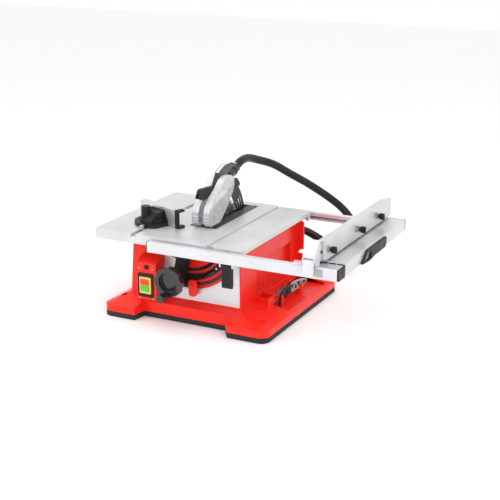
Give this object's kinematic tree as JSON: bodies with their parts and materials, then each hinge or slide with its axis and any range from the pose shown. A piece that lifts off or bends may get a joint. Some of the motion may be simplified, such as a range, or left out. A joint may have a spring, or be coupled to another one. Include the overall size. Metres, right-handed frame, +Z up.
{
  "type": "bench table saw",
  "caption": "Bench table saw with tilting, rising blade, hooded guard with suction hose, mitre gauge, rip fence and pull-out side wing.",
  "frame": {"origin": "centre of the four bench-bolt holes, in the plane the base stands on", "axes": "+X towards the pull-out wing, +Y away from the operator, +Z up"},
  "size_m": [0.977, 1.0313, 0.5259],
  "materials": {
    "red_shell": "satin gloss",
    "rim_rubber": "matte",
    "plate_silver": "printed silver, satin",
    "black_plastic": "fine spark texture",
    "black_gloss": "glossy",
    "bright_steel": "bright zinc plate",
    "switch_yellow": "satin",
    "button_green": "satin",
    "button_red": "satin",
    "cast_table": "ground, fine grain",
    "insert_dark": "dark anodised",
    "rail_alu": "clear anodised",
    "wing_alu": "clear anodised, drawn lines",
    "fence_cast": "painted silver white",
    "clear_lens": "clear",
    "cast_dark": "die cast, dark",
    "motor_cast": "cast, grey lacquer",
    "knife_black": "black oxide",
    "shield_clear": "translucent ribbed",
    "blade_steel": "ground",
    "rotor_metal": "lacquered winding",
    "hose_rubber": "smooth satin",
    "stick_grey": "moulded"
  },
  "bodies": {
    "base": {"housing": "red_shell", "foot_rim": "rim_rubber", "label_plate": "plate_silver", "quadrant": "red_shell", "slot_strip": "black_plastic", "panel_screws": "bright_steel", "switch_box": "red_shell", "switch_frame": "black_plastic", "switch_plate": "switch_yellow", "table_main": "cast_table", "table_right_section": "cast_table", "throat_insert": "insert_dark", "rail_guides": "bright_steel", "cable_gland": "black_plastic"},
    "start_button": {"start_button": "button_green"},
    "stop_button": {"stop_button": "button_red"},
    "reset_button": {"reset_button": "black_plastic"},
    "lock_lever": {"extension_lock_lever": "black_plastic"},
    "extension": {"front_rail": "rail_alu", "rear_rail": "rail_alu", "corner_tube": "rail_alu", "end_caps": "black_plastic", "wing_profile": "wing_alu", "wing_grip": "black_plastic"},
    "fence": {"fence_head": "fence_cast", "fence_profile": "wing_alu", "scale_lens": "clear_lens"},
    "fence_lever": {"fence_lever": "fence_cast"},
    "fence_face": {"fence_plate": "wing_alu"},
    "knob_front": {"fence_knob_front": "black_plastic"},
    "knob_middle": {"fence_knob_middle": "black_plastic"},
    "knob_rear": {"fence_knob_rear": "black_plastic"},
    "mitre_slide": {"mitre_bar": "bright_steel", "mitre_pointer": "bright_steel"},
    "mitre_head": {"mitre_head": "black_plastic", "mitre_fence": "wing_alu", "mitre_fence_cap": "black_plastic"},
    "mitre_knob": {"mitre_knob": "black_plastic"},
    "tilt_unit": {"tilt_carriage": "black_plastic", "cradle": "cast_dark", "guide_posts": "bright_steel", "dust_chute": "black_plastic", "suction_hose": "hose_rubber"},
    "bevel_lever": {"bevel_lever": "red_shell"},
    "handwheel": {"handwheel": "black_gloss", "lift_shaft": "bright_steel"},
    "crank_knob": {"crank_knob": "black_gloss"},
    "lift_screw": {"lift_screw": "bright_steel"},
    "rising_unit": {"gearbox": "cast_dark", "motor_housing": "motor_cast", "riving_knife": "knife_black", "guard_spine": "black_plastic", "suction_adapter": "black_gloss"},
    "blade": {"saw_blade": "blade_steel", "arbor_gear": "bright_steel", "blade_clamp": "bright_steel"},
    "rotor": {"motor_rotor": "rotor_metal"},
    "shield_carrier": {"shield_pin": "bright_steel"},
    "shields": {"blade_shields": "shield_clear"},
    "push_stick": {"push_stick": "stick_grey"}
  },
  "joints": [
    {"name": "start_press", "type": "slide", "parent": "base", "child": "start_button", "axis": [0, 1, 0], "range_m": [0, 0.002], "stiffness_N_per_m": 400},
    {"name": "stop_press", "type": "slide", "parent": "base", "child": "stop_button", "axis": [0, 1, 0], "range_m": [0, 0.002], "stiffness_N_per_m": 400},
    {"name": "reset_press", "type": "slide", "parent": "base", "child": "reset_button", "axis": [0, 1, 0], "range_m": [0, 0.002], "stiffness_N_per_m": 400},
    {"name": "extension_lock", "type": "hinge", "parent": "base", "child": "lock_lever", "pos_m": [0.173, -0.306, 0.262], "axis": [-1, 0, 0], "range_deg": [0, 50]},
    {"name": "extension_slide", "type": "slide", "parent": "base", "child": "extension", "axis": [-1, 0, 0], "range_m": [0, 0.26]},
    {"name": "fence_slide", "type": "slide", "parent": "extension", "child": "fence", "axis": [1, 0, 0], "range_m": [-0.45, 0.03]},
    {"name": "fence_lock", "type": "hinge", "parent": "fence", "child": "fence_lever", "pos_m": [0.5, -0.356, 0.337], "axis": [-1, 0, 0], "range_deg": [0, 60]},
    {"name": "fence_face_slide", "type": "slide", "parent": "fence", "child": "fence_face", "axis": [0, 1, 0], "range_m": [-0.05, 0.2]},
    {"name": "knob_front_turn", "type": "hinge", "parent": "fence_face", "child": "knob_front", "pos_m": [0.55, -0.268, 0.358], "axis": [1, 0, 0], "range_deg": [0, 360]},
    {"name": "knob_middle_turn", "type": "hinge", "parent": "fence_face", "child": "knob_middle", "pos_m": [0.55, -0.005, 0.358], "axis": [1, 0, 0], "range_deg": [0, 360]},
    {"name": "knob_rear_turn", "type": "hinge", "parent": "fence_face", "child": "knob_rear", "pos_m": [0.55, 0.184, 0.358], "axis": [1, 0, 0], "range_deg": [0, 360]},
    {"name": "mitre_travel", "type": "slide", "parent": "base", "child": "mitre_slide", "axis": [0, -1, 0], "range_m": [-0.25, 0.08]},
    {"name": "mitre_pivot", "type": "hinge", "parent": "mitre_slide", "child": "mitre_head", "pos_m": [-0.2, -0.16, 0.325], "axis": [0, 0, 1], "range_deg": [-40, 80]},
    {"name": "mitre_knob_turn", "type": "hinge", "parent": "mitre_head", "child": "mitre_knob", "pos_m": [-0.22359, -0.18973, 0.36], "axis": [0, 0, 1], "range_deg": [0, 360]},
    {"name": "bevel_tilt", "type": "hinge", "parent": "base", "child": "tilt_unit", "pos_m": [-0.018, 0, 0.325], "axis": [0, -1, 0], "range_deg": [0, 45]},
    {"name": "bevel_lock", "type": "hinge", "parent": "tilt_unit", "child": "bevel_lever", "pos_m": [0.00455, -0.25, 0.14138], "axis": [0, -1, 0], "range_deg": [0, 50]},
    {"name": "blade_height", "type": "slide", "parent": "tilt_unit", "child": "rising_unit", "axis": [0, 0, 1], "range_m": [-0.08, 0], "deforming": ["suction_hose"]},
    {"name": "handwheel_spin", "type": "hinge", "parent": "tilt_unit", "child": "handwheel", "pos_m": [-0.04796, -0.3, 0.17089], "axis": [0, 1, 0], "range_deg": [-2881, 0]},
    {"name": "crank_knob_spin", "type": "hinge", "parent": "handwheel", "child": "crank_knob", "pos_m": [-0.05296, -0.36, 0.12388], "axis": [0, 1, 0], "continuous": true},
    {"name": "lift_screw_spin", "type": "hinge", "parent": "tilt_unit", "child": "lift_screw", "pos_m": [-0.04796, -0.18, 0.23089], "axis": [0, 0, 1], "range_deg": [-2881, 0]},
    {"name": "blade_spin", "type": "hinge", "parent": "rising_unit", "child": "blade", "pos_m": [-0.018, 0, 0.28], "axis": [1, 0, 0], "continuous": true},
    {"name": "rotor_spin", "type": "hinge", "parent": "rising_unit", "child": "rotor", "pos_m": [-0.1, 0.03, 0.26], "axis": [1, 0, 0], "continuous": true},
    {"name": "shield_rise", "type": "slide", "parent": "rising_unit", "child": "shield_carrier", "axis": [0, 0, 1], "range_m": [0, 0.0371]},
    {"name": "shield_swing", "type": "hinge", "parent": "shield_carrier", "child": "shields", "pos_m": [-0.018, 0.01, 0.44], "axis": [1, 0, 0], "range_deg": [-45, 0]},
    {"name": "push_stick_lift", "type": "slide", "parent": "base", "child": "push_stick", "axis": [0, 0, 1], "range_m": [0, 0.08]}
  ],
  "couplings": [
    {"joint": "handwheel_spin", "follows": "blade_height", "rad_per_m": 628.32},
    {"joint": "lift_screw_spin", "follows": "blade_height", "rad_per_m": 628.32},
    {"joint": "rotor_spin", "follows": "blade_spin", "ratio": -3},
    {"joint": "shield_rise", "follows": "bevel_tilt", "m_per_rad": 0.0471},
    {"joint": "shield_swing", "follows": "blade_height", "rad_per_m": 9.8175}
  ]
}
